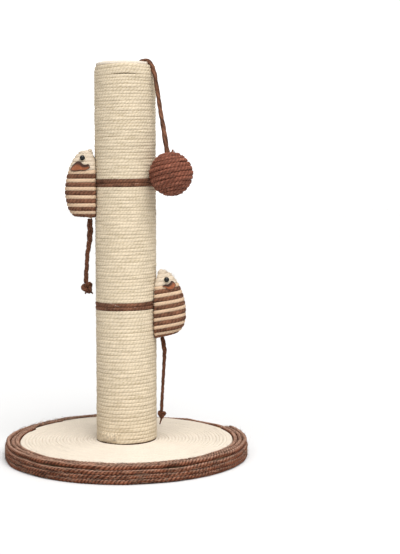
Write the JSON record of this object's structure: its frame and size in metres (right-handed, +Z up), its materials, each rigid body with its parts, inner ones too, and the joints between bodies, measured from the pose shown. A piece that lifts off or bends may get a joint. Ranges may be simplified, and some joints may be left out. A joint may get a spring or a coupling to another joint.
{
  "type": "cat scratching post",
  "caption": "Upright post wound with sisal rope on a round rope-wound base, with a hanging rope ball and rope mice on its sides.",
  "frame": {"origin": "middle of the underside, on the floor", "axes": "+Z up along the post; the pictured front faces -Y, +X to its right"},
  "size_m": [0.2996, 0.2996, 0.4854],
  "materials": {
    "natural_sisal": "twisted sisal rope, natural",
    "pale_sisal": "twisted sisal rope, pale cream",
    "brown_sisal": "twisted sisal rope, dyed red brown",
    "board": "raw fibreboard",
    "wood": "raw wood",
    "cardboard": "wound cardboard",
    "felt": "needled felt",
    "steel": "zinc plated",
    "suede": "suede",
    "bead": "glossy black",
    "glue": "set hot glue"
  },
  "bodies": {
    "post": {"underside_felt": "felt", "base_board": "board", "base_rim_rope": "brown_sisal", "base_top_rope": "pale_sisal", "centre_bolt": "steel", "bolt_washer": "steel", "bottom_plug": "wood", "bolt_nut": "steel", "post_tube": "cardboard", "top_plug": "wood", "top_rope": "natural_sisal", "lower_rope": "natural_sisal", "lower_band": "brown_sisal", "middle_rope": "natural_sisal", "upper_band": "brown_sisal", "upper_rope": "natural_sisal", "ball_rope_knot": "brown_sisal", "ball_rope_top": "brown_sisal", "left_mouse_core": "pale_sisal", "left_mouse_brown_rope": "brown_sisal", "left_mouse_cream_rope": "pale_sisal", "left_mouse_glue_pad": "glue", "left_mouse_front_eye": "bead", "left_mouse_rear_eye": "bead", "left_mouse_front_ear": "suede", "left_mouse_rear_ear": "suede", "right_mouse_core": "pale_sisal", "right_mouse_brown_rope": "brown_sisal", "right_mouse_cream_rope": "pale_sisal", "right_mouse_glue_pad": "glue", "right_mouse_front_eye": "bead", "right_mouse_rear_eye": "bead", "right_mouse_front_ear": "suede", "right_mouse_rear_ear": "suede"},
    "rope_corner": {"ball_rope_bend": "brown_sisal"},
    "hanging_rope": {"ball_rope": "brown_sisal"},
    "ball": {"ball_core": "wood", "ball_winding": "brown_sisal"},
    "left_tail_pivot": {"left_tail_root": "brown_sisal"},
    "left_tail": {"left_tail": "brown_sisal", "left_tail_knot": "brown_sisal"},
    "right_tail_pivot": {"right_tail_root": "brown_sisal"},
    "right_tail": {"right_tail": "brown_sisal", "right_tail_knot": "brown_sisal"}
  },
  "joints": [
    {"name": "ball_rope_sway", "type": "hinge", "parent": "post", "child": "rope_corner", "pos_m": [0.03359, -0.02059, 0.4826], "axis": [0.8526, -0.5225, 0], "range_deg": [-60, 60]},
    {"name": "ball_rope_swing", "type": "hinge", "parent": "rope_corner", "child": "hanging_rope", "pos_m": [0.03359, -0.02059, 0.4826], "axis": [-0.5225, -0.8526, 0], "range_deg": [0, 100]},
    {"name": "ball_twist", "type": "hinge", "parent": "hanging_rope", "child": "ball", "pos_m": [0.05444, -0.03336, 0.3475], "axis": [-0.1518, 0.093, 0.984], "range_deg": [-180, 180]},
    {"name": "left_tail_sway", "type": "hinge", "parent": "post", "child": "left_tail_pivot", "pos_m": [-0.0436, 0, 0.2882], "axis": [-1, 0, 0], "range_deg": [-60, 60]},
    {"name": "left_tail_lift", "type": "hinge", "parent": "left_tail_pivot", "child": "left_tail", "pos_m": [-0.0436, 0, 0.2882], "axis": [0, 1, 0], "range_deg": [0, 85]},
    {"name": "right_tail_sway", "type": "hinge", "parent": "post", "child": "right_tail_pivot", "pos_m": [0.04486, -0.0063, 0.1434], "axis": [0.9903, -0.1392, 0], "range_deg": [-60, 60]},
    {"name": "right_tail_lift", "type": "hinge", "parent": "right_tail_pivot", "child": "right_tail", "pos_m": [0.04486, -0.0063, 0.1434], "axis": [-0.1392, -0.9903, 0], "range_deg": [0, 85]}
  ]
}
